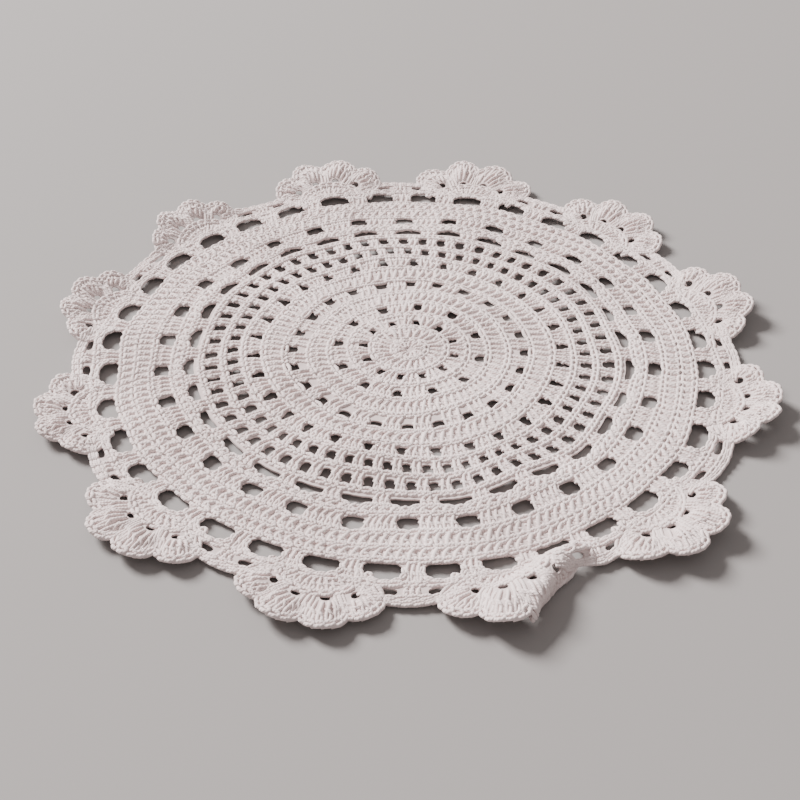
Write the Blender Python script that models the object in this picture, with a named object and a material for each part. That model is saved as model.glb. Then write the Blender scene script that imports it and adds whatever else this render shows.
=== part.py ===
"""A small round crocheted doily, laid out on a table.

It is one sheet of lace.  Rings of eyelets go through the middle, thirty-six chain loops run round it, and
twelve fan-shaped shells of four lobes each make the scalloped rim.  The underside is flat on the table as
far as the loops.  Outside them each shell lifts by its own amount, and one shell has a soft fold across it.

Metres, +Z up.  The origin is on the table, under the middle of the doily.
"""

import math
from collections import namedtuple

import bpy
from mathutils import Vector
from mathutils.geometry import delaunay_2d_cdt

MM = 0.001

# The sheet
THICKNESS = 1.6 * MM

# The ring of chain loops, three to a shell
LOOP_RING = 79.4 * MM
LOOPS_PER_SHELL = 3
LOOP_WIDTH = 9.2 * MM
LOOP_HEIGHT = 5.4 * MM
LOOP_CORNERS = 10
CORD_EDGE = 88.4 * MM

# A shell: lobes spread like a fan about a point on the ring of loops
LOBES = 4
LOBE_RADIUS = 5.5 * MM
LOBE_STEP = math.radians(36)
LOBE_ARC_STEPS = 4
SHELL_HOLE_WIDTH = 2.4 * MM
SHELL_HOLE_HEIGHT = 2.6 * MM
CORD_STEPS = 3

# Where a shell's holes are: millimetres from the point on the ring of loops, and degrees off its middle
SHELL_HOLES = ((11.4, -50), (10.2, -16), (10.2, 20), (12.2, 54))

# How a shell lifts: from LIFT_START outside the loops to LIFT_END, and less from LIFT_SIDE off its middle
LIFT_START = 3.0 * MM
LIFT_END = 17.0 * MM
LIFT_SIDE = 12.0 * MM
LIFT_SIDE_END = 23.0 * MM

# angle: direction of the shell's middle, in degrees; reach and lift, in millimetres: how far its tips are
# from the doily's middle, and how high they stand off the table
Shell = namedtuple("Shell", "angle reach lift")
SHELLS = (
    Shell(17.8, 97.5, 2.8),
    Shell(48.1, 98.7, 1.2),
    Shell(79.0, 100.1, 0.8),
    Shell(109.3, 98.5, 2.6),
    Shell(140.2, 96.2, 3.8),
    Shell(170.0, 96.9, 3.0),
    Shell(200.2, 97.3, 0.8),
    Shell(229.4, 99.2, 1.0),
    Shell(258.9, 98.3, 1.4),
    Shell(288.4, 98.7, 1.6),
    Shell(317.3, 98.9, 2.4),
    Shell(348.7, 97.0, 3.2),
)

# The fold: its crest comes along the outside of two loops, bends, and runs over one shell to its tips.  The
# sheet falls softly on one side of the crest.  On the other it drops to the table, where it is drawn in.
# Points of the crest are across the folded shell's middle line, and out from the ring of loops
FOLDED_SHELL = 288.4
FOLD_START = Vector((22.0, 0.0)) * MM
FOLD_BEND = Vector((11.0, 2.5)) * MM
FOLD_TIP = Vector((-1.5, 18.0)) * MM
FOLD_ROUNDING = 1.5 * MM
FOLD_RISE = 4.0 * MM
FOLD_GENTLE_SIDE = 3.0 * MM
FOLD_GENTLE_GROWTH = 5.0 * MM
FOLD_STEEP_SIDE = 8.0 * MM
FOLD_PULL = 4.6 * MM
FOLD_TUCK = 2.4 * MM
FOLD_TAPER = 0.5
FOLD_INSIDE = -3.0 * MM
FOLD_END = 24.0 * MM
FOLD_SPACING = 2.4 * MM

# Rings of eyelets.  radius, width along the ring and height across it are in millimetres; first is the
# direction of the first eyelet, in degrees
Eyelets = namedtuple("Eyelets", "radius count first width height corners")
EYELETS = (
    Eyelets(11.7, 12, 24.0, 2.0, 2.1, 6),
    Eyelets(19.6, 12, 23.9, 2.3, 2.8, 6),
    Eyelets(31.8, 24, 2.1, 2.8, 2.5, 6),
    Eyelets(40.5, 30, 6.9, 2.3, 2.3, 6),
    Eyelets(58.2, 30, 8.5, 7.0, 2.0, 6),
    Eyelets(65.1, 30, 9.6, 5.0, 4.0, 6),
)

# Handwork is never even.  The stitches of the inner rounds are a little closer together on one side, and
# the rounds inside SHIFT_WHOLE sit off the doily's middle
SWAY = math.radians(1.2)
SWAY_TOWARDS = math.radians(165)
MIDDLE_SHIFT = Vector((0.5, 1.6)) * MM
SHIFT_WHOLE = 55.0 * MM
SHIFT_END = 79.4 * MM

# Roundness of an opening: 2 is an ellipse, more is squarer
SQUARENESS = 2.8

# Extra points inside the sheet: rows on the flat middle, and closer rows where the shells lift
FLAT_ROWS = (10.0, 26.5, 36.6, 50.0, 72.0)
LIFTED_ROWS = (84.5, 87.0, 91.5, 95.5)
FLAT_SPACING = 9.0 * MM
LIFTED_SPACING = 3.6 * MM
POINT_CLEARANCE = 1.0 * MM

COTTON = (0.66, 0.585, 0.60, 1.0)
COTTON_ROUGHNESS = 0.85


def polar(radius, angle):
    return Vector((radius * math.cos(angle), radius * math.sin(angle)))


def smooth(value):
    """0 below 0, 1 above 1, with a soft start and end."""
    value = min(1.0, max(0.0, value))
    return value * value * (3 - 2 * value)


def crossing(centre, radius, other_centre, other_radius, side):
    """Where two circles cross, on the left (side 1) or right (side -1) of the way between their centres."""
    way = other_centre - centre
    apart = way.length
    along = (apart**2 + radius**2 - other_radius**2) / (2 * apart)
    across = math.sqrt(radius**2 - along**2)
    way.normalize()
    return centre + way * along + Vector((-way.y, way.x)) * (side * across)


def arc(centre, start, end, steps):
    """Points on a circle, counterclockwise from start to end, without the end."""
    first = math.atan2(*(start - centre).yx)
    last = math.atan2(*(end - centre).yx)
    sweep = (last - first) % math.tau
    radius = (start - centre).length
    return [centre + polar(radius, first + sweep * i / steps) for i in range(steps)]


def lobe_directions(shell):
    middle = math.radians(shell.angle)
    return [middle + (i - (LOBES - 1) / 2) * LOBE_STEP for i in range(LOBES)]


def lobe_centres(shell):
    foot = polar(LOOP_RING, math.radians(shell.angle))
    distance = (shell.reach * MM - LOOP_RING - LOBE_RADIUS) / math.cos(LOBE_STEP / 2)
    return [foot + polar(distance, direction) for direction in lobe_directions(shell)]


def shell_outline(shell):
    """The scalloped edge of one shell, from the chain cord before it to the one after it."""
    axis = Vector((0, 0))
    centres = lobe_centres(shell)
    corners = [crossing(centres[0], LOBE_RADIUS, axis, CORD_EDGE, 1)]
    for centre, following in zip(centres, centres[1:]):
        corners.append(crossing(centre, LOBE_RADIUS, following, LOBE_RADIUS, -1))
    corners.append(crossing(centres[-1], LOBE_RADIUS, axis, CORD_EDGE, -1))
    points = []
    for centre, start, end in zip(centres, corners, corners[1:]):
        points += arc(centre, start, end, LOBE_ARC_STEPS)
    return points + [corners[-1]]


def outline():
    points = []
    rims = [shell_outline(shell) for shell in SHELLS]
    for rim, following in zip(rims, rims[1:] + rims[:1]):
        cord = arc(Vector((0, 0)), rim[-1], following[0], CORD_STEPS)
        points += rim + cord[1:]
    return points


def opening(radius, angle, width, height, corners):
    """A rounded opening across a ring, its width along the ring."""
    shift = MIDDLE_SHIFT * smooth((SHIFT_END - radius) / (SHIFT_END - SHIFT_WHOLE))
    points = []
    for i in range(corners):
        turn = math.tau * (i + 0.5) / corners
        across, along = math.cos(turn), math.sin(turn)
        scale = (abs(across) ** SQUARENESS + abs(along) ** SQUARENESS) ** (-1 / SQUARENESS)
        outwards = radius + across * scale * height / 2
        points.append(shift + polar(outwards, angle + along * scale * width / 2 / radius))
    return points


def shell_holes(shell):
    """A small three-cornered hole at the root of each lobe."""
    foot = polar(LOOP_RING, math.radians(shell.angle))
    holes = []
    for distance, direction in SHELL_HOLES:
        out = polar(1, math.radians(shell.angle + direction))
        along = Vector((-out.y, out.x))
        middle = foot + out * distance * MM
        holes.append(
            [
                middle - out * SHELL_HOLE_HEIGHT / 2,
                middle + out * SHELL_HOLE_HEIGHT / 2 - along * SHELL_HOLE_WIDTH / 2,
                middle + out * SHELL_HOLE_HEIGHT / 2 + along * SHELL_HOLE_WIDTH / 2,
            ]
        )
    return holes


def loop_angles():
    """The loops' directions: the first of each three is under a shell's middle."""
    angles = []
    for shell, following in zip(SHELLS, SHELLS[1:] + SHELLS[:1]):
        step = (following.angle - shell.angle) % 360 / LOOPS_PER_SHELL
        angles += [math.radians(shell.angle + i * step) for i in range(LOOPS_PER_SHELL)]
    return angles


def openings():
    holes = []
    for ring in EYELETS:
        radius = ring.radius * MM
        for i in range(ring.count):
            angle = math.radians(ring.first) + math.tau * i / ring.count
            angle += SWAY * math.cos(angle - SWAY_TOWARDS)
            holes.append(opening(radius, angle, ring.width * MM, ring.height * MM, ring.corners))
    for angle in loop_angles():
        holes.append(opening(LOOP_RING, angle, LOOP_WIDTH, LOOP_HEIGHT, LOOP_CORNERS))
    for shell in SHELLS:
        holes += shell_holes(shell)
    return holes


def beside_and_out(shell, point):
    """A point's place on a shell: across its middle line, and out from the loops."""
    middle = polar(1, math.radians(shell.angle))
    return middle.cross(point), point.dot(middle) - LOOP_RING


def lifted_share(across, out):
    """How much of its shell's lift a point has: 0 on the flat middle, 1 at the shell's tips."""
    beside = smooth((LIFT_SIDE_END - abs(across)) / (LIFT_SIDE_END - LIFT_SIDE))
    return beside * smooth((out - LIFT_START) / (LIFT_END - LIFT_START))


def fold_at(point):
    """Distance from the fold's crest, more than 0 on its steep side, the way straight off the crest, the
    distance out from the loops, and how much of the fold there is at a point."""
    across, out = beside_and_out(next(shell for shell in SHELLS if shell.angle == FOLDED_SHELL), point)
    sides, offs = [], []
    for start, end in ((FOLD_START, FOLD_BEND), (FOLD_BEND, FOLD_TIP)):
        sides.append(Vector(((end - start).y, (start - end).x)).normalized())
        offs.append((Vector((across, out)) - FOLD_BEND).dot(sides[-1]))
    weights = [math.exp((min(offs) - off) / FOLD_ROUNDING) for off in offs]
    off = min(offs) - FOLD_ROUNDING * math.log(sum(weights))
    way = (sides[0] * weights[0] + sides[1] * weights[1]).normalized()
    share = smooth((FOLD_END - across) / (9 * MM)) * smooth((out - FOLD_INSIDE) / (5 * MM))
    return off, way, out, share


def at_tips(out):
    """1 where the fold runs out over the tips of its shell, and 0 further in."""
    return smooth((out - 9 * MM) / (9 * MM))


def lift(point):
    """Height of the underside above the table."""
    height = 0.0
    for shell in SHELLS:
        height = max(height, shell.lift * MM * lifted_share(*beside_and_out(shell, point)))
    off, _, out, share = fold_at(point)
    rise = FOLD_RISE * share * (1 - FOLD_TAPER * at_tips(out))
    if off < 0:
        gentle = FOLD_GENTLE_SIDE + FOLD_GENTLE_GROWTH * smooth((out - 2 * MM) / (10 * MM))
        return height + rise * math.exp(-((off / gentle) ** 2))
    drop = smooth(off / FOLD_STEEP_SIDE)
    return height * (1 - share * drop) + rise * (1 - drop)


def laid(point):
    """Where a point of the flat sheet's underside lies, with the fold drawn in."""
    off, way, out, share = fold_at(point)
    pull = (FOLD_PULL + FOLD_TUCK * at_tips(out)) * smooth(off / FOLD_STEEP_SIDE) * share
    outwards = polar(1, math.radians(FOLDED_SHELL))
    x, y = point - (Vector((-outwards.y, outwards.x)) * way.x + outwards * way.y) * pull
    return Vector((x, y, lift(point)))


def upper_side(point):
    """The point of the upper side straight over one of the underside."""
    step = 0.05 * MM
    along_x = laid(point + Vector((step, 0))) - laid(point - Vector((step, 0)))
    along_y = laid(point + Vector((0, step))) - laid(point - Vector((0, step)))
    return laid(point) + along_x.cross(along_y).normalized() * THICKNESS


def distance_to_edge(point, polygon):
    best = math.inf
    for start, end in zip(polygon, polygon[1:] + polygon[:1]):
        way = end - start
        part = max(0.0, min(1.0, (point - start).dot(way) / way.length_squared))
        best = min(best, (start + way * part - point).length)
    return best


def is_inside(point, polygon):
    inside = False
    for start, end in zip(polygon, polygon[1:] + polygon[:1]):
        if (start.y > point.y) != (end.y > point.y):
            crossed_at = start.x + (point.y - start.y) / (end.y - start.y) * (end.x - start.x)
            inside ^= point.x < crossed_at
    return inside


def candidate_points():
    """Rows of points all over the sheet, and a closer grid on the fold."""
    points = [Vector((0, 0))]
    out = polar(1, math.radians(FOLDED_SHELL))
    across = Vector((-out.y, out.x))
    for i in range(-2, 9):
        for j in range(1, 9):
            points.append(out * (LOOP_RING + j * FOLD_SPACING) + across * (i + j % 2 / 2) * FOLD_SPACING)
    rows = [(radius * MM, FLAT_SPACING) for radius in FLAT_ROWS]
    rows += [(radius * MM, LIFTED_SPACING) for radius in LIFTED_ROWS]
    for row, (radius, spacing) in enumerate(rows):
        count = round(math.tau * radius / spacing)
        points += [polar(radius, math.tau * (i + row % 2 / 2) / count) for i in range(count)]
    return points


def inner_points(rim, holes):
    """Points inside the sheet, clear of its edges and of each other, that let it bend evenly."""
    points = []
    for point in candidate_points():
        near_holes = [hole for hole in holes if (hole[0] - point).length < 2 * LOOP_WIDTH]
        clear = all(distance_to_edge(point, edge) > POINT_CLEARANCE for edge in near_holes + [rim])
        clear = clear and all((other - point).length > POINT_CLEARANCE for other in points)
        if clear and is_inside(point, rim) and not any(is_inside(point, hole) for hole in near_holes):
            points.append(point)
    return points


def flat_triangles():
    """The lace seen from above: its points, and its counterclockwise triangles."""
    rim = outline()
    holes = openings()
    points, rings = [], []
    for polygon in [rim] + holes:
        rings.append(list(range(len(points), len(points) + len(polygon))))
        points += polygon
    points += inner_points(rim, holes)
    points, _, triangles, _, _, rings_of = delaunay_2d_cdt(points, [], rings, 1, MM / 1000)
    cloth = [face for face, inside in zip(triangles, rings_of) if inside == [0]]
    return points, cloth


def lace_mesh():
    """The flat triangles made into a closed sheet of even thickness that follows the lift."""
    points, cloth = flat_triangles()
    under = [laid(point) for point in points]
    above = [upper_side(point) for point in points]
    top = len(points)
    edges = {(a, b) for face in cloth for a, b in zip(face, face[1:] + face[:1])}
    faces = [tuple(reversed(face)) for face in cloth]
    faces += [tuple(corner + top for corner in face) for face in cloth]
    faces += [(a, b, b + top, a + top) for a, b in sorted(edges) if (b, a) not in edges]
    mesh = bpy.data.meshes.new("doily")
    mesh.from_pydata(under + above, [], faces)
    mesh.validate()
    return mesh


def cotton():
    material = bpy.data.materials.new("cotton")
    material.use_nodes = True
    shader = material.node_tree.nodes["Principled BSDF"]
    shader.inputs["Base Color"].default_value = COTTON
    shader.inputs["Roughness"].default_value = COTTON_ROUGHNESS
    shader.inputs["Metallic"].default_value = 0.0
    return material


def main():
    for old in list(bpy.data.objects):
        bpy.data.objects.remove(old)
    mesh = lace_mesh()
    mesh.materials.append(cotton())
    doily = bpy.data.objects.new("doily", mesh)
    bpy.context.scene.collection.objects.link(doily)


main()
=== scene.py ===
"""Looks of a small round crocheted doily, laid out on a pale floor.

Every stitch is modelled.  A tall stitch is two strands twisted round each other with a third wrapped over
them, and a chain stitch is a drop-shaped loop that comes out of the one before it.  A thin ground sheet
runs through the middle of the stitches and closes the pinholes between them, with the lace's holes cut out.
Its colour is the thread's, darkened as painted shade between the stitches.

Lengths are in millimetres until a mesh is made, and the studio is in metres.  Angles are in radians, unless
a name or a comment says otherwise.
"""

import math
from collections import namedtuple

import bpy
import numpy as np
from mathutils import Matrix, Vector
from mathutils.geometry import delaunay_2d_cdt


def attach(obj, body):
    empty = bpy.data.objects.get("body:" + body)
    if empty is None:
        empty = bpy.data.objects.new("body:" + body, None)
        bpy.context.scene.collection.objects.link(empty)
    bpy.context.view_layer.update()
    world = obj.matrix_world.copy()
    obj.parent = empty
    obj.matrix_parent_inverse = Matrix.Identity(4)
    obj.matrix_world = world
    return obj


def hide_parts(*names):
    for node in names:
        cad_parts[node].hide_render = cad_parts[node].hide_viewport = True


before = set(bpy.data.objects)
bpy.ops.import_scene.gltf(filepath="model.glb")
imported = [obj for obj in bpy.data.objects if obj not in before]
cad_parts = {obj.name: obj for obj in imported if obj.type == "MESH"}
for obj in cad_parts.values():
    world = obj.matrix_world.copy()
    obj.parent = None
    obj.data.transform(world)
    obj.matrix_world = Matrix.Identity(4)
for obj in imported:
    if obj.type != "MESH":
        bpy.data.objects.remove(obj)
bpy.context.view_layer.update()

MM = 0.001
SEED = 31
random = np.random.default_rng(SEED)

# ---------------------------------------------------------------- the doily's shape, as in the CAD

LOOP_RING = 79.4
LOOPS_PER_SHELL = 3
LOOP_WIDTH = 9.2
LOOP_HEIGHT = 5.4
CORD_EDGE = 88.4
LOBES = 4
LOBE_RADIUS = 5.5
LOBE_STEP = math.radians(36)

# a shell's holes: distance from its foot on the ring of loops, and degrees off its middle line
SHELL_HOLES = ((11.4, -50), (10.2, -16), (10.2, 20), (12.2, 54))

# a shell lifts between two distances out from the loops, and less where it is far off its middle line
LIFT_START = 3.0
LIFT_END = 17.0
LIFT_SIDE = 12.0
LIFT_SIDE_END = 23.0

# angle in degrees; how far the tips are from the middle, and how high they lift
Shell = namedtuple("Shell", "angle reach lift")
SHELLS = (
    Shell(17.8, 97.5, 2.8),
    Shell(48.1, 98.7, 1.2),
    Shell(79.0, 100.1, 0.8),
    Shell(109.3, 98.5, 2.6),
    Shell(140.2, 96.2, 3.8),
    Shell(170.0, 96.9, 3.0),
    Shell(200.2, 97.3, 0.8),
    Shell(229.4, 99.2, 1.0),
    Shell(258.9, 98.3, 1.4),
    Shell(288.4, 98.7, 1.6),
    Shell(317.3, 98.9, 2.4),
    Shell(348.7, 97.0, 3.2),
)
NEIGHBOURS = tuple(zip(SHELLS, SHELLS[1:] + SHELLS[:1]))

# the fold: its crest's start, bend and tip, across the folded shell's middle line and out from the loops
FOLDED_SHELL = 288.4
FOLD_CREST = np.array(((22.0, 0.0), (11.0, 2.5), (-1.5, 18.0)))
FOLD_ROUNDING = 1.5
FOLD_RISE = 4.0
FOLD_GENTLE_SIDE = 3.0
FOLD_GENTLE_GROWTH = 5.0
FOLD_GROWTH_START = 2.0
FOLD_GROWTH_LENGTH = 10.0
FOLD_STEEP_SIDE = 8.0
FOLD_PULL = 4.6
FOLD_TUCK = 2.4
FOLD_TAPER = 0.5
FOLD_INSIDE = -3.0
FOLD_INSIDE_LENGTH = 5.0
FOLD_END = 24.0
FOLD_END_LENGTH = 9.0
TIPS_START = 9.0
TIPS_LENGTH = 9.0

# the stitches of a round are a little closer together on one side of the doily
SWAY = math.radians(1.2)
SWAY_TOWARDS = math.radians(165)

# rounds sit this much off the middle within SHIFT_WHOLE, and not at all from SHIFT_END
MIDDLE_SHIFT = np.array((0.5, 1.6))
SHIFT_WHOLE = 55.0
SHIFT_END = 79.4

# ---------------------------------------------------------------- softness that the CAD leaves out

# the soft ridge along each lobe: its height, where it begins and ends from the shell's foot, and how far
# outside the loops it begins
PUFF = 1.0
PUFF_START = 9.0
PUFF_START_LENGTH = 6.0
PUFF_END = 24.0
PUFF_END_LENGTH = 2.0
PUFF_OUTSIDE = 1.0
PUFF_OUTSIDE_LENGTH = 4.0

# how unevenly the doily lies, how uneven its rounds are, and the wavelengths of both
RIPPLE = 1.0
RIPPLE_SIZE = 34
WOBBLE = 0.45
WOBBLE_SIZE = 26

# ---------------------------------------------------------------- thread

STRAND_SIDES = 6
WRAP_SIDES = 5
THREAD_UNEVEN = 0.05

# tall stitches: a strand's radius is a share of the stitch's width, from THIN to THICK
THREAD_SHARE = 0.25
THIN, THICK = 0.42, 0.62
LEAST_SPREAD = 0.10  # from the stitch's middle to a strand's
POST_POINTS = 8
POST_HEIGHT = 0.80  # of the stitch's axis above the underside
POST_HEIGHT_UNEVEN = 0.06
POST_SCATTER = 0.08
POST_BOW = 0.12
FOOT_DROP = 0.12  # how much lower the foot is
FOOT_PART = 0.28  # of the stitch's length
TWIST = 1.10  # half turns from foot to top
TWIST_UNEVEN = 0.05
TWIST_START = 0.15 * math.pi
TWIST_START_UNEVEN = 0.35
TWIST_RISE = 0.26

# the strand over a tall stitch's middle
WRAP_THREAD = 0.42
WRAP_POINTS = 7
WRAP_MIDDLE = 0.52  # this and the slant are parts of the stitch's length
WRAP_MIDDLE_UNEVEN = 0.03
WRAP_SLANT = 0.16
WRAP_OVERHANG = 0.36
WRAP_RISE = 0.62
WRAP_ROUNDNESS = 0.7
WRAP_SINK = 0.28

# chain stitches
CHAIN_THREAD = 0.50
CHAIN_HALF_WIDTH = 0.68
CHAIN_WIDTH_UNEVEN = 0.06
CHAIN_HEIGHT = 0.92
CHAIN_HEIGHT_UNEVEN = 0.05

# one chain stitch, seen from above: along its length, across it as a part of its half width, and height
CHAIN_LOOP = np.array(
    (
        (-0.22, 0.18, -0.55),
        (0.16, 0.70, -0.10),
        (0.55, 1.00, 0.08),
        (0.93, 0.72, 0.10),
        (1.12, 0.00, 0.02),
        (0.93, -0.72, 0.10),
        (0.55, -1.00, 0.08),
        (0.16, -0.70, -0.10),
        (-0.22, -0.18, -0.55),
    )
)


def smooth(value):
    """0 below 0 and 1 above 1, with a soft start and end between them."""
    value = np.clip(value, 0.0, 1.0)
    return value * value * (3 - 2 * value)


def polar(radius, angle):
    return np.stack([radius * np.cos(angle), radius * np.sin(angle)], axis=-1)


def evenly(count, first=0.0):
    """Directions of the stitches of a round, the first given in degrees: nearly even, as they come from
    the hand."""
    angles = math.radians(first) + math.tau * np.arange(count) / count
    return angles + SWAY * np.cos(angles - SWAY_TOWARDS)


def place(radius, angle):
    """Where a stitch of a round lies; the inner rounds sit off the doily's middle."""
    shift = smooth((SHIFT_END - np.asarray(radius, float)) / (SHIFT_END - SHIFT_WHOLE))
    return polar(radius, angle) + shift[..., None] * MIDDLE_SHIFT


def beside_and_out(angle, x, y):
    """A point's place on the shell at an angle in degrees: across its middle line, and out from the
    loops."""
    mx, my = polar(1, math.radians(angle))
    return mx * y - my * x, x * mx + y * my - LOOP_RING


def lifted_share(across, out):
    """How much of its shell's lift a point has."""
    beside = smooth((LIFT_SIDE_END - np.abs(across)) / (LIFT_SIDE_END - LIFT_SIDE))
    return beside * smooth((out - LIFT_START) / (LIFT_END - LIFT_START))


def fold_at(across, out):
    """Distance from the fold's crest, more than 0 on its steep side, the way straight off the crest, and
    how much of the fold there is."""
    point = np.stack([across, out], axis=-1) - FOLD_CREST[1]
    along = np.diff(FOLD_CREST, axis=0)
    sides = np.stack([along[:, 1], -along[:, 0]], axis=-1) / np.linalg.norm(along, axis=1, keepdims=True)
    weights = np.exp(-(point @ sides.T) / FOLD_ROUNDING)
    off = -FOLD_ROUNDING * np.log(weights.sum(axis=-1))
    way = weights @ sides
    way /= np.linalg.norm(way, axis=-1, keepdims=True)
    share = smooth((FOLD_END - across) / FOLD_END_LENGTH) * smooth((out - FOLD_INSIDE) / FOLD_INSIDE_LENGTH)
    return off, way, share


def at_tips(out):
    """1 where the fold runs out over the tips of its shell, and 0 further in."""
    return smooth((out - TIPS_START) / TIPS_LENGTH)


def puff(across, out):
    """Height of the soft ridge along each lobe of a shell."""
    distance = np.hypot(across, out)
    direction = np.arctan2(across, np.maximum(out, 0.1))
    ridge = 0.5 - 0.5 * np.cos(math.tau * (direction / LOBE_STEP + LOBES / 2))
    ridge = PUFF * ridge * smooth((distance - PUFF_START) / PUFF_START_LENGTH)
    ridge = ridge * smooth((PUFF_END - distance) / PUFF_END_LENGTH)
    return ridge * smooth((out - PUFF_OUTSIDE) / PUFF_OUTSIDE_LENGTH)


def lift(x, y):
    """Height of the underside above the floor."""
    height = np.zeros(np.shape(x))
    for shell in SHELLS:
        across, out = beside_and_out(shell.angle, x, y)
        height = np.maximum(height, shell.lift * lifted_share(across, out) + puff(across, out))
    across, out = beside_and_out(FOLDED_SHELL, x, y)
    off, _, share = fold_at(across, out)
    drop = smooth(off / FOLD_STEEP_SIDE)
    growth = smooth((out - FOLD_GROWTH_START) / FOLD_GROWTH_LENGTH)
    gentle = FOLD_GENTLE_SIDE + FOLD_GENTLE_GROWTH * growth
    rise = np.where(off < 0, np.exp(-((off / gentle) ** 2)), 1 - drop)
    rise = FOLD_RISE * (1 - FOLD_TAPER * at_tips(out)) * share * rise
    return height * (1 - share * drop) + rise


def waves(x, y, size, number):
    """A smooth uneven field between about -1 and 1, of five waves that run different ways; size is their
    wavelength, and each number gives another field."""
    each = np.arange(5)
    ways = math.tau * (each * 0.618 + 0.37 * number)
    lengths = size * (0.8 + 0.12 * each)
    starts = 1.7 * each + number
    field = 0
    for way, length, start in zip(ways, lengths, starts):
        field = field + np.sin(math.tau * (x * math.cos(way) + y * math.sin(way)) / length + start)
    return field / 2.6


def laid(x, y):
    """Where points of the flat sheet's underside lie, with the fold drawn in."""
    across, out = beside_and_out(FOLDED_SHELL, x, y)
    off, way, share = fold_at(across, out)
    pull = (FOLD_PULL + FOLD_TUCK * at_tips(out)) * smooth(off / FOLD_STEEP_SIDE) * share
    ox, oy = polar(1, math.radians(FOLDED_SHELL))
    new_x = x - (ox * way[..., 1] - oy * way[..., 0]) * pull
    new_y = y - (oy * way[..., 1] + ox * way[..., 0]) * pull
    height = lift(x, y) + RIPPLE * (1 + waves(x, y, RIPPLE_SIZE, 3)) / 2
    return np.stack([new_x, new_y, height], axis=-1)


def lay(points):
    """Where points (x, y, height above the underside) of the flat doily are once it lies on the floor."""
    x, y, z = points[..., 0], points[..., 1], points[..., 2]
    step = 0.1
    upwards = np.cross(laid(x + step, y) - laid(x - step, y), laid(x, y + step) - laid(x, y - step))
    upwards /= np.linalg.norm(upwards, axis=-1, keepdims=True)
    moved = laid(x, y) + upwards * z[..., None]
    for axis in (0, 1):
        moved[..., axis] += WOBBLE * waves(x, y, WOBBLE_SIZE, axis + 1)
    return moved


# ---------------------------------------------------------------- stitches

strands = {}  # piece name: list of (lines, radius, sides)


def add(piece, xy, z, radius, sides):
    """Strands of a piece: places (n, m, 2) on the flat doily, and heights (n, m) above its underside."""
    lines = lay(np.concatenate([xy, z[..., None]], axis=-1))
    radius = np.broadcast_to(radius, z.shape)
    lines[..., 2] = np.maximum(lines[..., 2], radius)
    strands.setdefault(piece, []).append((lines, radius, sides))


def left_of(way):
    """The direction to the left of each way, (n, 2)."""
    return np.stack([-way[:, 1], way[:, 0]], axis=-1) / np.linalg.norm(way, axis=1, keepdims=True)


def varied(value, uneven, count):
    """The value of each of count stitches, a little different for each."""
    return value * (1 + random.normal(0, uneven, (count, 1)))


def tall_stitches(piece, feet, tops, foot_pitch, top_pitch):
    """Tall stitches from feet to tops, (n, 2) each; the pitches are the widths they fill at both ends."""
    count = len(feet)
    t = np.linspace(0, 1, POST_POINTS)
    feet = feet + random.normal(0, POST_SCATTER, (count, 2))
    tops = tops + random.normal(0, POST_SCATTER, (count, 2))
    way = tops - feet
    side = left_of(way)
    centre = feet[:, None] + way[:, None] * t[None, :, None]
    bow = random.normal(0, POST_BOW, (count, 1)) * np.sin(math.pi * t)
    width = np.broadcast_to(foot_pitch, (count,))[:, None] * (1 - t)
    width = width + np.broadcast_to(top_pitch, (count,))[:, None] * t
    thick = varied(np.clip(THREAD_SHARE * width, THIN, THICK), THREAD_UNEVEN, count)
    spread = np.maximum(width / 2 - thick, LEAST_SPREAD)
    start = random.uniform(-TWIST_START_UNEVEN, TWIST_START_UNEVEN, (count, 1)) + TWIST_START
    turn = start + (TWIST + random.normal(0, TWIST_UNEVEN, (count, 1))) * math.pi * t
    height = POST_HEIGHT - FOOT_DROP * (1 - smooth(t / FOOT_PART))
    height = height + random.normal(0, POST_HEIGHT_UNEVEN, (count, 1))
    for strand in (0, math.pi):
        across = spread * np.cos(turn + strand) + bow
        up = TWIST_RISE * np.sin(turn + strand)
        add(piece, centre + side[:, None] * across[..., None], height + up, thick, STRAND_SIDES)
    wrap(piece, feet, way, side, spread, height)


def wrap(piece, feet, way, side, spread, height):
    """The strand that crosses over the middle of each tall stitch."""
    s = np.linspace(-1, 1, WRAP_POINTS)
    middle = WRAP_MIDDLE + random.normal(0, WRAP_MIDDLE_UNEVEN, (len(feet), 1))
    t = middle + WRAP_SLANT * s
    across = (spread.mean(axis=1, keepdims=True) + WRAP_OVERHANG) * s
    up = WRAP_RISE * np.cos(s * math.pi / 2) ** WRAP_ROUNDNESS - WRAP_SINK
    xy = feet[:, None] + way[:, None] * t[..., None] + side[:, None] * across[..., None]
    add(piece, xy, height.mean(axis=1, keepdims=True) + up, WRAP_THREAD, WRAP_SIDES)


def chain(piece, path, half_width=CHAIN_HALF_WIDTH, height=CHAIN_HEIGHT, thread=CHAIN_THREAD):
    """Chain stitches along a path; one lies between each two of its points."""
    start, end = path[:-1], path[1:]
    count = len(start)
    way = end - start
    width = varied(half_width, CHAIN_WIDTH_UNEVEN, count)
    a, b, c = CHAIN_LOOP.T
    xy = start[:, None] + way[:, None] * a[None, :, None]
    xy = xy + left_of(way)[:, None] * (b[None, :] * width)[..., None]
    z = height + c[None, :] + random.normal(0, CHAIN_HEIGHT_UNEVEN, (count, 1))
    add(piece, xy, z, varied(thread, THREAD_UNEVEN, count), STRAND_SIDES)


# ---------------------------------------------------------------- rounds

# how far inside a round's inner radius its stitches' feet lie, and inside its outer one their tops and its
# chain
FEET_INSIDE = 0.35
TOPS_INSIDE = 0.75
RIM_INSIDE = 0.72


def loop_angles():
    """Directions of the loops; the first of every three is at a shell's middle."""
    angles = []
    for shell, following in NEIGHBOURS:
        step = (following.angle - shell.angle) % 360 / LOOPS_PER_SHELL
        angles += [math.radians(shell.angle + i * step) for i in range(LOOPS_PER_SHELL)]
    return np.array(angles)


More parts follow.
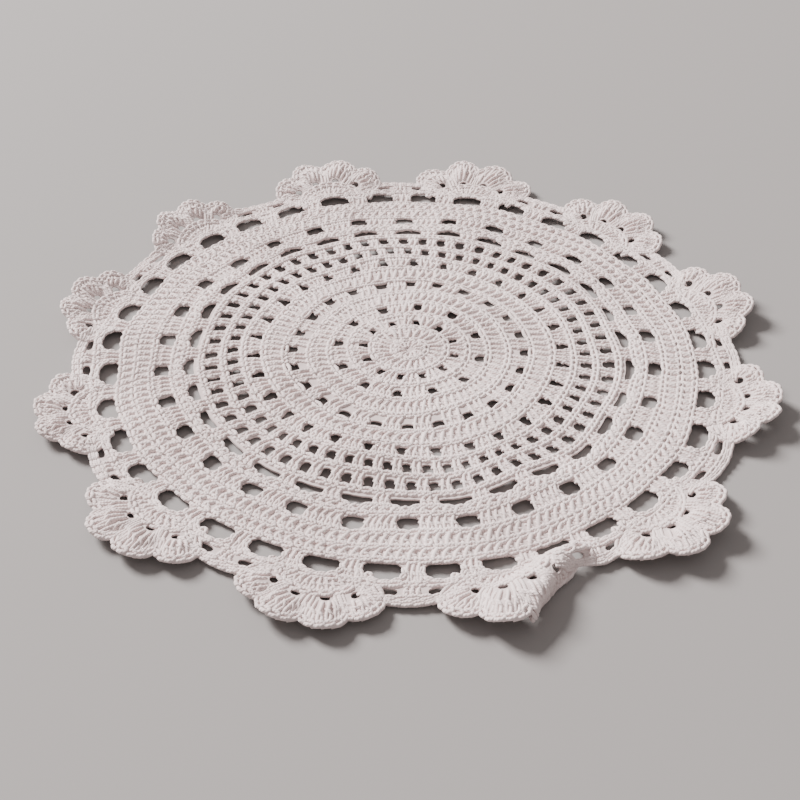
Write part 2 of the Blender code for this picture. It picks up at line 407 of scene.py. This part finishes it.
# inner, outer: radii that the round lies between.  centres: directions of the gaps between its groups.
# posts and chains: tall stitches in a group, and chain stitches over a gap.  foot_gap, top_gap: widths.
# arch: how far out the chain bows over a gap.
Round = namedtuple("Round", "piece inner outer centres posts chains foot_gap top_gap arch")
ROUNDS = (
    Round("lace_centre", 1.6, 5.4, evenly(12), 1, 0, 0, 0, 0),
    Round("lace_centre", 5.4, 10.8, evenly(24), 1, 0, 0, 0, 0),
    Round("lace_centre", 10.8, 16.4, evenly(12, 24.0), 3, 0, 2.7, 0.3, 0),
    Round("lace_centre", 16.4, 21.9, evenly(12, 23.9), 4, 1, 1.8, 3.2, 0),
    Round("lace_centre", 21.9, 27.4, evenly(72), 1, 0, 0, 0, 0),
    Round("lace_inner", 27.4, 33.9, evenly(24, 2.1), 3, 1, 1.4, 3.9, 0.3),
    Round("lace_inner", 33.9, 39.2, evenly(96), 1, 0, 0, 0, 0),
    Round("lace_inner", 39.2, 44.6, evenly(30, 6.9), 4, 0, 3.3, 0.8, 0),
    Round("lace_mesh", 44.6, 50.2, evenly(60, 2.7), 2, 1, 2.2, 2.4, 0),
    Round("lace_mesh", 50.2, 56.2, evenly(60, 4.0), 2, 1, 2.4, 2.6, 0),
    Round("lace_slots", 56.2, 60.6, evenly(30, 8.5), 3, 3, 7.6, 7.6, 1.1),
    Round("lace_slots", 60.4, 63.1, evenly(150), 1, 0, 0, 0, 0),
    Round("lace_slots", 62.9, 68.6, evenly(30, 9.6), 5, 2, 4.8, 5.2, 0.4),
    Round("lace_band", 68.6, 73.0, evenly(180), 1, 0, 0, 0, 0),
    Round("lace_band", 73.0, 76.8, evenly(180, 1), 1, 0, 0, 0, 0),
    Round("lace_loops", 76.8, 83.4, loop_angles(), 3, 3, 9.2, 9.2, 0.3),
)


def across_group(start, end, radius, gap, count):
    """Directions of the middles of a group's stitches, and their pitch: start and end are the middles of
    the gaps on its two sides."""
    span = (end - start) * radius
    pitch = (span - gap) / count
    return start + (gap / 2 + pitch * (np.arange(count) + 0.5)) / radius, pitch


def group_rim(rnd, start, end):
    """(direction, radius) of the chain stitches' ends along the top of one group, its gap first."""
    half = rnd.top_gap / 2 / rnd.outer
    part = np.linspace(-1, 1, rnd.chains, endpoint=False)
    over_posts = np.linspace(start + half, end - half, rnd.posts, endpoint=False)
    angles = np.concatenate([start + half * part, over_posts])
    rise = np.concatenate([rnd.arch * (1 - part**2), np.zeros(rnd.posts)])
    return np.stack([angles, rnd.outer - RIM_INSIDE + rise], axis=-1)


def crochet_round(rnd):
    feet, tops, foot_pitch, top_pitch, rim = [], [], [], [], []
    following = np.append(rnd.centres[1:], rnd.centres[0] + math.tau)
    for start, end in zip(rnd.centres, following):
        angles, pitch = across_group(start, end, rnd.inner, rnd.foot_gap, rnd.posts)
        feet += list(angles)
        foot_pitch += [pitch] * rnd.posts
        angles, pitch = across_group(start, end, rnd.outer, rnd.top_gap, rnd.posts)
        tops += list(angles)
        top_pitch += [pitch] * rnd.posts
        rim += list(group_rim(rnd, start, end))
    feet = place(rnd.inner - FEET_INSIDE, np.array(feet))
    tops = place(rnd.outer - TOPS_INSIDE, np.array(tops))
    tall_stitches(rnd.piece, feet, tops, np.array(foot_pitch), np.array(top_pitch))
    rim = np.array(rim + rim[:1])
    rim[-1, 0] += math.tau
    chain(rnd.piece, place(rim[:, 1], rim[:, 0]))


# the chain arch round a loop: its points' directions, and how far it is outside the opening
ARCH_TURN = np.radians(np.linspace(-22, 202, 9))
ARCH_BESIDE = 0.5
ARCH_ABOVE = 0.45
ARCH_CHAIN = {"half_width": 0.42, "height": 1.0, "thread": 0.42}


def loop_arch(angle):
    """The chain arch that makes the top and the sides of a loop."""
    across = np.cos(ARCH_TURN) * (LOOP_WIDTH / 2 + ARCH_BESIDE)
    out = np.sin(ARCH_TURN) * (LOOP_HEIGHT / 2 + ARCH_ABOVE)
    chain("lace_loops", polar(LOOP_RING + out, angle + across / LOOP_RING), **ARCH_CHAIN)


# ---------------------------------------------------------------- shells

# Distances here are from a shell's foot, the point where its middle line crosses the ring of loops, and
# directions are off that line.

# the base: a half ring of tall stitches with a chain on them, wider near the outer two of the shell's holes
BASE_POSTS = np.radians(np.linspace(-84, 84, 13))
BASE_FEET = 3.6
BASE_FEET_GROWTH = 1.6
BASE_EDGE = 8.8
BASE_EDGE_GROWTH = 3.6
BASE_TOPS_INSIDE = 0.6
BASE_CHAIN = np.radians(np.linspace(-88, 88, 13))
BASE_PITCHES = (1.0, 1.95)

# the lobes' fans, in steps from a lobe's middle; the inner stitches' feet are round the lobe's hole
OUTER_FAN = np.array((-0.47, -0.34, 0.34, 0.47))
OUTER_FEET = 9.0
OUTER_PITCHES = (1.2, 1.7)
INNER_FAN = np.array((-0.24, -0.08, 0.08, 0.24))
INNER_FEET_TURN = np.radians((-62, -20, 20, 62))
INNER_FEET_RADIUS = 1.7
INNER_PITCHES = (1.1, 1.9)
FAN_TOPS_INSIDE = 1.5
EDGE_CHAIN = np.radians(np.linspace(-88, 88, 31))
EDGE_CHAIN_INSIDE = 0.9


def from_foot(shell, distance, direction):
    """A point near a shell: distance and direction from its foot on the ring of loops."""
    middle = math.radians(shell.angle)
    return polar(LOOP_RING, middle) + polar(distance, middle + direction)


def base_edge(directions):
    """Distance of the edge of a shell's base from its foot, in each direction."""
    return BASE_EDGE + BASE_EDGE_GROWTH * np.sin(directions) ** 4 * np.cos(directions)


def shell_edge(shell, directions):
    """Distance of a shell's scalloped edge from its foot, in each direction."""
    distance = (shell.reach - LOOP_RING - LOBE_RADIUS) / math.cos(LOBE_STEP / 2)
    lobes = (np.arange(LOBES) - (LOBES - 1) / 2) * LOBE_STEP
    off = directions - lobes[np.abs(directions[:, None] - lobes).argmin(axis=1)]
    inside = np.maximum(0, LOBE_RADIUS**2 - (distance * np.sin(off)) ** 2)
    return distance * np.cos(off) + np.sqrt(inside)


def shell_stitches(shell, piece):
    feet = from_foot(shell, BASE_FEET + BASE_FEET_GROWTH * np.abs(np.sin(BASE_POSTS)), BASE_POSTS)
    tops = from_foot(shell, base_edge(BASE_POSTS) - BASE_TOPS_INSIDE, BASE_POSTS)
    tall_stitches(piece, feet, tops, *BASE_PITCHES)
    chain(piece, from_foot(shell, base_edge(BASE_CHAIN), BASE_CHAIN))
    for number in range(LOBES):
        lobe_stitches(shell, number, piece)
    chain(piece, from_foot(shell, shell_edge(shell, EDGE_CHAIN) - EDGE_CHAIN_INSIDE, EDGE_CHAIN))


def lobe_stitches(shell, number, piece):
    """A lobe's fan of stitches: outer ones from the base past the lobe's hole, inner ones from its rim."""
    lobe = (number - (LOBES - 1) / 2) * LOBE_STEP
    fan = lobe + LOBE_STEP * OUTER_FAN
    feet = from_foot(shell, OUTER_FEET, fan)
    tops = from_foot(shell, shell_edge(shell, fan) - FAN_TOPS_INSIDE, fan)
    tall_stitches(piece, feet, tops, *OUTER_PITCHES)
    fan = lobe + LOBE_STEP * INNER_FAN
    distance, off = SHELL_HOLES[number]
    middle = from_foot(shell, distance, math.radians(off))
    feet = middle + polar(INNER_FEET_RADIUS, math.radians(shell.angle) + lobe + INNER_FEET_TURN)
    tops = from_foot(shell, shell_edge(shell, fan) - FAN_TOPS_INSIDE, fan)
    tall_stitches(piece, feet, tops, *INNER_PITCHES)


# ---------------------------------------------------------------- cords between the shells

# the two chain cords: how far inside CORD_EDGE each lies, and how far from a shell's middle line it ends
CORDS = ((2.1, 10.5), (0.8, 13.0))
CORD_STITCH = 2.5
CORD_CHAIN = {"half_width": 0.48, "thread": 0.44}

# the short stitches that hold the cords to the loops: their directions from half way between two shells
CORD_POSTS = np.array((-11.5, -10, -1.3, 0, 1.3, 10, 11.5)) / CORD_EDGE
CORD_POSTS_FEET = 83.6
CORD_POSTS_TOPS = 86.2
CORD_POSTS_PITCH = 1.3


def cord_middle(shell, following):
    """The direction half way between two shells."""
    return math.radians(shell.angle + (following.angle - shell.angle) % 360 / 2)


def cord_stitches(shell, following, piece):
    """The cords side by side between two shells, and what holds them."""
    span = (following.angle - shell.angle) % 360
    for inside, reach in CORDS:
        radius = CORD_EDGE - inside
        half = math.degrees(reach / radius)
        start, end = shell.angle + half, shell.angle + span - half
        count = max(2, round(math.radians(end - start) * radius / CORD_STITCH))
        angles = np.radians(np.linspace(start, end, count + 1))
        chain(piece, polar(radius, angles), **CORD_CHAIN)
    angles = cord_middle(shell, following) + CORD_POSTS
    feet, tops = polar(CORD_POSTS_FEET, angles), polar(CORD_POSTS_TOPS, angles)
    tall_stitches(piece, feet, tops, CORD_POSTS_PITCH, CORD_POSTS_PITCH)


# ---------------------------------------------------------------- meshes of the strands


def tube_rings(lines, radius, sides):
    """The corners of tubes round lines (n, m, 3): an array (n, m, sides, 3)."""
    tangent = np.gradient(lines, axis=1)
    tangent /= np.linalg.norm(tangent, axis=-1, keepdims=True)
    normal = np.empty_like(tangent)
    last = np.broadcast_to((0.0, 0.0, 1.0), tangent[:, 0].shape)
    for j in range(lines.shape[1]):
        t = tangent[:, j]
        last = last - t * (last * t).sum(-1, keepdims=True)
        last = last / np.linalg.norm(last, axis=-1, keepdims=True)
        normal[:, j] = last
    other = np.cross(tangent, normal)
    turn = math.tau * np.arange(sides) / sides
    ring = normal[:, :, None] * np.cos(turn)[:, None] + other[:, :, None] * np.sin(turn)[:, None]
    return lines[:, :, None] + ring * radius[..., None, None]


def tube_places(lines, sides):
    """Texture places for the corners of the tubes' quads and then of their end caps: how far round the
    strand, as a part of a turn, and how far along it."""
    n, m, _ = lines.shape
    length = np.zeros((n, m))
    length[:, 1:] = np.cumsum(np.linalg.norm(np.diff(lines, axis=1), axis=-1), axis=1)
    length += random.uniform(0, 10, (n, 1))
    u0 = np.broadcast_to(np.arange(sides) / sides, (n, m - 1, sides))
    v0 = np.broadcast_to(length[:, :-1, None], u0.shape)
    v1 = np.broadcast_to(length[:, 1:, None], u0.shape)
    u1 = u0 + 1 / sides
    quads = np.stack([np.stack(c, axis=-1) for c in ((u0, v0), (u1, v0), (u1, v1), (u0, v1))], axis=-2)
    caps = np.zeros((2 * n, sides, 2))
    caps[..., 1] = np.concatenate([length[:, 0], length[:, -1]])[:, None]
    return np.concatenate([quads.reshape(-1, 2), caps.reshape(-1, 2)])


def tubes(lines, radius, sides):
    """Vertices, faces' corners, faces' sizes, texture places and tone of closed tubes."""
    n, m, _ = lines.shape
    index = np.arange(n * m * sides).reshape(n, m, sides)
    beside = np.roll(index, -1, axis=2)
    quads = np.stack([index[:, :-1], beside[:, :-1], beside[:, 1:], index[:, 1:]], axis=-1)
    caps = np.concatenate([index[:, 0, ::-1], index[:, -1]])
    corners = np.concatenate([quads.reshape(-1), caps.reshape(-1)])
    sizes = np.concatenate([np.full(n * (m - 1) * sides, 4), np.full(2 * n, sides)])
    places = tube_places(lines, sides)
    tone = np.repeat(random.uniform(0, 1, n), m * sides)
    return tube_rings(lines, radius, sides).reshape(-1, 3), corners, sizes, places, tone


def new_object(name, mesh):
    made = bpy.data.objects.new(name, mesh)
    bpy.context.scene.collection.objects.link(made)
    return made


def thread_piece(name, parts):
    """One object of all the tubes of a piece."""
    vertices, corners, sizes, places, tones = zip(*parts)
    offsets = np.cumsum([0] + [len(part) for part in vertices[:-1]])
    corners = np.concatenate([part + offset for part, offset in zip(corners, offsets)])
    vertices, sizes = np.concatenate(vertices) * MM, np.concatenate(sizes)
    starts = np.concatenate([[0], np.cumsum(sizes)[:-1]])
    mesh = bpy.data.meshes.new(name)
    mesh.vertices.add(len(vertices))
    mesh.vertices.foreach_set("co", vertices.astype(np.float32).ravel())
    mesh.loops.add(len(corners))
    mesh.loops.foreach_set("vertex_index", corners.astype(np.int32))
    mesh.polygons.add(len(sizes))
    mesh.polygons.foreach_set("loop_start", starts.astype(np.int32))
    mesh.update(calc_edges=True)
    places, tones = np.concatenate(places), np.concatenate(tones)
    mesh.uv_layers.new(name="strand").data.foreach_set("uv", places.astype(np.float32).ravel())
    mesh.attributes.new("tone", "FLOAT", "POINT").data.foreach_set("value", tones.astype(np.float32))
    mesh.shade_smooth()
    return new_object(name, mesh)


# ---------------------------------------------------------------- ground sheet

# heights of its two sides above the doily's underside
GROUND_LOW = 0.45
GROUND_HIGH = 0.95

# its outline: how far inside a shell's edge, and in which directions from the shell's foot; between two
# shells, the radius, how far outside that a shell's points begin, and where the points lie
GROUND_INSET = 0.9
GROUND_RIM = np.radians(np.linspace(-77, 77, 45))
GROUND_CORD_EDGE = 87.6
GROUND_CORD_MARGIN = 0.3
GROUND_CORD_PARTS = np.linspace(0.03, 0.97, 6)

# its inner points: radii of the rings, their spacing, and a finer grid on the fold
GROUND_RINGS = (4, 8, 15, 25, 36, 44, 50, 55.5, 61.5, 70, 73, 86, 89, 91, 93, 95, 97)
GROUND_SPACING = 3
FOLD_SPACING = 1.4
FOLD_COLUMNS = range(-5, 18)
FOLD_ROWS = range(1, 15)

HOLE_CORNERS = 14
SQUARENESS = 2.6
LOOP_MARGIN = 0.7
CORD_SLOT = (84.8, 5.0, 1.9)  # radius, width, height
SLOT_OFF = math.radians(3.9)  # from half way between two shells
SHELL_HOLE_RADIUS = 1.15
SHELL_HOLE_CORNERS = 8

# radius, count, first (degrees), width, height and arch of each ring of holes in the ground
HOLES = (
    (11.9, 12, 24.0, 2.5, 3.0, 0),
    (19.3, 12, 23.9, 3.0, 3.8, 0),
    (31.5, 24, 2.1, 3.8, 3.6, 0),
    (41.0, 30, 6.9, 3.2, 3.8, 0),
    (47.2, 60, 2.7, 2.9, 3.8, 0),
    (53.0, 60, 4.0, 3.0, 4.0, 0),
    (58.3, 30, 8.5, 7.8, 2.8, 0.8),
    (65.1, 30, 9.6, 5.6, 4.4, 0.3),
)


def hole(radius, angle, width, height, arch=0.0):
    """A rounded oblong, bowed out by arch."""
    turn = math.tau * (np.arange(HOLE_CORNERS) + 0.5) / HOLE_CORNERS
    across, along = np.cos(turn), np.sin(turn)
    scale = (np.abs(across) ** SQUARENESS + np.abs(along) ** SQUARENESS) ** (-1 / SQUARENESS)
    across, along = across * scale, along * scale
    out = across * height / 2 + arch * (0.5 - along**2)
    shift = place(radius, angle) - polar(radius, angle)
    return shift + polar(radius + out, angle + along * width / 2 / radius)


def shell_hole(shell, distance, off):
    turn = math.tau * np.arange(SHELL_HOLE_CORNERS) / SHELL_HOLE_CORNERS
    middle = from_foot(shell, distance, math.radians(off))
    return middle + polar(SHELL_HOLE_RADIUS, math.radians(shell.angle + off) + turn)


def ground_holes():
    holes = []
    for radius, count, first, width, height, arch in HOLES:
        holes += [hole(radius, angle, width, height, arch) for angle in evenly(count, first)]
    for angle in loop_angles():
        holes.append(hole(LOOP_RING, angle, LOOP_WIDTH + LOOP_MARGIN, LOOP_HEIGHT + LOOP_MARGIN))
    radius, width, height = CORD_SLOT
    for pair in NEIGHBOURS:
        holes += [hole(radius, cord_middle(*pair) + side, width, height) for side in (-SLOT_OFF, SLOT_OFF)]
    for shell in SHELLS:
        holes += [shell_hole(shell, distance, off) for distance, off in SHELL_HOLES]
    return holes


def ground_outline():
    outline = []
    for shell, following in NEIGHBOURS:
        rim = from_foot(shell, shell_edge(shell, GROUND_RIM) - GROUND_INSET, GROUND_RIM)
        rim = rim[np.linalg.norm(rim, axis=1) > GROUND_CORD_EDGE + GROUND_CORD_MARGIN]
        outline += list(rim)
        # on to the next shell, whose first point is taken to be as far off its middle as this one's last
        last = math.atan2(rim[-1][1], rim[-1][0])
        off = (math.radians(shell.angle) - last) % math.tau
        off = min(off, math.tau - off)
        gap = math.radians((following.angle - shell.angle) % 360) - 2 * off
        outline += list(polar(GROUND_CORD_EDGE, last + gap * GROUND_CORD_PARTS))
    return outline


def ground_points():
    """Points inside the ground that let it follow the doily's shape."""
    points = []
    for radius in GROUND_RINGS:
        count = round(math.tau * radius / GROUND_SPACING)
        points += list(polar(radius, evenly(count, radius * 7)))
    out, across = polar(1, math.radians(FOLDED_SHELL)), polar(1, math.radians(FOLDED_SHELL + 90))
    for i in FOLD_COLUMNS:
        points += [out * (LOOP_RING + FOLD_SPACING * j) + across * FOLD_SPACING * i for j in FOLD_ROWS]
    return points + [(0, 0)]


def flat_ground():
    """Points of the flat ground, and its triangles."""
    loops, points = [], []
    for ring in [ground_outline()] + ground_holes():
        loops.append(list(range(len(points), len(points) + len(ring))))
        points += list(ring)
    points = [Vector(point) for point in points + ground_points()]
    points, _, faces, _, _, loops_of = delaunay_2d_cdt(points, [], loops, 1, 1e-4)
    cloth = [face for face, inside in zip(faces, loops_of) if inside == [0]]
    used = sorted({i for face in cloth for i in face})
    renumbered = {old: new for new, old in enumerate(used)}
    return np.array([points[i] for i in used]), [[renumbered[i] for i in face] for face in cloth]


def ground_sheet():
    """The ground as a thin closed sheet."""
    flat, cloth = flat_ground()
    top = len(flat)
    low = lay(np.column_stack([flat, np.full(top, GROUND_LOW)]))
    high = lay(np.column_stack([flat, np.full(top, GROUND_HIGH)]))
    edges = {(a, b) for face in cloth for a, b in zip(face, face[1:] + face[:1])}
    faces = [face[::-1] for face in cloth] + [[i + top for i in face] for face in cloth]
    faces += [(a, b, b + top, a + top) for a, b in sorted(edges) if (b, a) not in edges]
    mesh = bpy.data.meshes.new("lace_ground")
    mesh.from_pydata((np.concatenate([low, high]) * MM).tolist(), [], faces)
    return new_object("lace_ground", mesh)


# ---------------------------------------------------------------- materials

# colours and scale of the thread's soft patches, and how the darkest and the palest strand differ from
# them; then the ground sheet's patches, the same cotton darkened as painted shade between the stitches
THREAD_PATCHES = ((0.70, 0.577, 0.562, 1), (0.82, 0.687, 0.672, 1))
THREAD_PATCH_SCALE = 28
THREAD_TONES = (0.93, 1.05)
GROUND_PATCHES_PAINTED_SHADE = ((0.52, 0.42, 0.41, 1), (0.68, 0.56, 0.545, 1))
GROUND_PATCH_SCALE = 900

# the plies of the thread: ridges round it, the length they take to come round, and their depth
PLIES = 2
PLY_LENGTH = 0.75
PLY_DEPTH = 0.06


def shader_of(name):
    material = bpy.data.materials.new(name)
    material.use_nodes = True
    return material, material.node_tree.nodes, material.node_tree.links


def patches(nodes, links, colours, scale, detail=2.0, ends=(0.0, 1.0)):
    """Colour that changes softly from place to place; ends are where the noise reaches each colour."""
    where = nodes.new("ShaderNodeTexCoord")
    noise = nodes.new("ShaderNodeTexNoise")
    noise.inputs["Scale"].default_value = scale
    noise.inputs["Detail"].default_value = detail
    ramp = nodes.new("ShaderNodeValToRGB")
    for element, end, colour in zip(ramp.color_ramp.elements, ends, colours):
        element.position = end
        element.color = colour
    links.new(where.outputs["Object"], noise.inputs["Vector"])
    links.new(noise.outputs["Fac"], ramp.inputs["Fac"])
    return ramp.outputs["Color"]


def thread_colour(nodes, links):
    """Soft patches over the doily, and each strand a little darker or paler than the next."""
    colour = patches(nodes, links, THREAD_PATCHES, THREAD_PATCH_SCALE, detail=3, ends=(0.35, 0.65))
    tone = nodes.new("ShaderNodeAttribute")
    tone.attribute_name = "tone"
    vary = nodes.new("ShaderNodeMapRange")
    vary.inputs["To Min"].default_value, vary.inputs["To Max"].default_value = THREAD_TONES
    links.new(tone.outputs["Fac"], vary.inputs["Value"])
    mix = nodes.new("ShaderNodeVectorMath")
    mix.operation = "SCALE"
    links.new(colour, mix.inputs[0])
    links.new(vary.outputs["Result"], mix.inputs["Scale"])
    return mix.outputs["Vector"]


def ply_ridges(nodes, links):
    """Slanting ridges round each strand."""
    uv = nodes.new("ShaderNodeUVMap")
    uv.uv_map = "strand"
    split = nodes.new("ShaderNodeSeparateXYZ")
    links.new(uv.outputs["UV"], split.inputs["Vector"])
    around = nodes.new("ShaderNodeMath")
    around.operation = "MULTIPLY"
    around.inputs[1].default_value = PLIES * math.tau
    links.new(split.outputs["X"], around.inputs[0])
    along = nodes.new("ShaderNodeMath")
    along.operation = "MULTIPLY_ADD"
    along.inputs[1].default_value = math.tau / PLY_LENGTH
    links.new(split.outputs["Y"], along.inputs[0])
    links.new(around.outputs["Value"], along.inputs[2])
    ridge = nodes.new("ShaderNodeMath")
    ridge.operation = "SINE"
    links.new(along.outputs["Value"], ridge.inputs[0])
    bump = nodes.new("ShaderNodeBump")
    bump.inputs["Strength"].default_value = 0.5
    bump.inputs["Distance"].default_value = PLY_DEPTH * MM
    links.new(ridge.outputs["Value"], bump.inputs["Height"])
    return bump.outputs["Normal"]


def cotton_thread():
    material, nodes, links = shader_of("cotton_thread")
    shader = nodes["Principled BSDF"]
    shader.inputs["Roughness"].default_value = 0.85
    shader.inputs["Sheen Weight"].default_value = 0.25
    shader.inputs["Sheen Roughness"].default_value = 0.5
    shader.inputs["Specular IOR Level"].default_value = 0.2
    links.new(thread_colour(nodes, links), shader.inputs["Base Color"])
    links.new(ply_ridges(nodes, links), shader.inputs["Normal"])
    return material


def ground_cotton_painted_shade():
    material, nodes, links = shader_of("cotton_ground_painted_shade")
    shader = nodes["Principled BSDF"]
    shader.inputs["Roughness"].default_value = 0.9
    # the thread's cotton colour, darkened as painted shade in the pinholes between the stitches
    colour = patches(nodes, links, GROUND_PATCHES_PAINTED_SHADE, GROUND_PATCH_SCALE)
    links.new(colour, shader.inputs["Base Color"])
    return material


# ---------------------------------------------------------------- studio, in metres

FLOOR_SIZE = 6
FLOOR_COLOUR = (0.27, 0.25, 0.245, 1)
SKY_COLOUR = (1.0, 0.95, 0.93, 1)
SKY_STRENGTH = 0.55

# a soft light from the back left
WINDOW_PLACE = Vector((-2.16, 1.50, 1.86))
WINDOW_SIZE = 1.05
WINDOW_POWER = 360
WINDOW_COLOUR = (1.0, 0.985, 0.97)

# The camera stands where the photograph's stood.  Its aim is off the photograph's middle by so many of the
# photograph's pixels, so that the one doily fills a narrower view.
CAMERA_PLACE = Vector((0.0124, -0.2779, 0.2173))
CAMERA_DOWN = 0.767078
CAMERA_ROLL = 0.040687
FOCAL_PIXELS = 688.45
AIM_ACROSS = -25 / FOCAL_PIXELS
AIM_UP = 50 / FOCAL_PIXELS
VIEW_ANGLE = math.radians(33.8)


def floor():
    material, nodes, _ = shader_of("floor")
    nodes["Principled BSDF"].inputs["Base Color"].default_value = FLOOR_COLOUR
    nodes["Principled BSDF"].inputs["Roughness"].default_value = 0.9
    bpy.ops.mesh.primitive_plane_add(size=FLOOR_SIZE, location=(0, 0, 0))
    made = bpy.context.object
    made.name = "floor"
    made.data.materials.append(material)


def sky():
    world = bpy.data.worlds.new("studio")
    bpy.context.scene.world = world
    world.use_nodes = True
    world.node_tree.nodes["Background"].inputs["Color"].default_value = SKY_COLOUR
    world.node_tree.nodes["Background"].inputs["Strength"].default_value = SKY_STRENGTH


def window():
    lamp = bpy.data.lights.new("window", "AREA")
    lamp.size = WINDOW_SIZE
    lamp.energy = WINDOW_POWER
    lamp.color = WINDOW_COLOUR
    made = new_object("window", lamp)
    made.location = WINDOW_PLACE
    made.rotation_euler = (-WINDOW_PLACE).to_track_quat("-Z", "Y").to_euler()


def camera():
    forward = Vector((0, math.cos(CAMERA_DOWN), -math.sin(CAMERA_DOWN)))
    up = Vector((0, math.sin(CAMERA_DOWN), math.cos(CAMERA_DOWN)))
    right = Vector((1, 0, 0))
    across = right * math.cos(CAMERA_ROLL) + up * math.sin(CAMERA_ROLL)
    upwards = up * math.cos(CAMERA_ROLL) - right * math.sin(CAMERA_ROLL)
    aim = (forward + across * AIM_ACROSS + upwards * AIM_UP).normalized()
    side = aim.cross(upwards).normalized()
    top = side.cross(aim)
    data = bpy.data.cameras.new("camera")
    data.sensor_width = 36
    data.angle = VIEW_ANGLE
    data.clip_start = 0.01
    made = new_object("camera", data)
    turn = made.rotation_euler.to_matrix()
    for row in range(3):
        turn[row] = (side[row], top[row], -aim[row])
    made.rotation_euler = turn.to_euler()
    made.location = CAMERA_PLACE
    bpy.context.scene.camera = made


# ---------------------------------------------------------------- the whole doily


def crochet():
    """Works every stitch, from the middle outwards."""
    for rnd in ROUNDS:
        crochet_round(rnd)
    for angle in loop_angles():
        loop_arch(angle)
    for number, (shell, following) in enumerate(NEIGHBOURS):
        piece = "lace_shells_" + "abcd"[number // 3]
        shell_stitches(shell, piece)
        cord_stitches(shell, following, piece)


def thread_pieces():
    thread = cotton_thread()
    made = []
    for name, parts in strands.items():
        piece = thread_piece(name, [tubes(*part) for part in parts])
        piece.data.materials.append(thread)
        made.append(piece)
    return made


def main():
    camera()
    sky()
    window()
    floor()
    crochet()
    made = thread_pieces()
    ground = ground_sheet()
    ground.data.materials.append(ground_cotton_painted_shade())
    for piece in made + [ground]:
        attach(piece, "root")
        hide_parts("doily")


main()
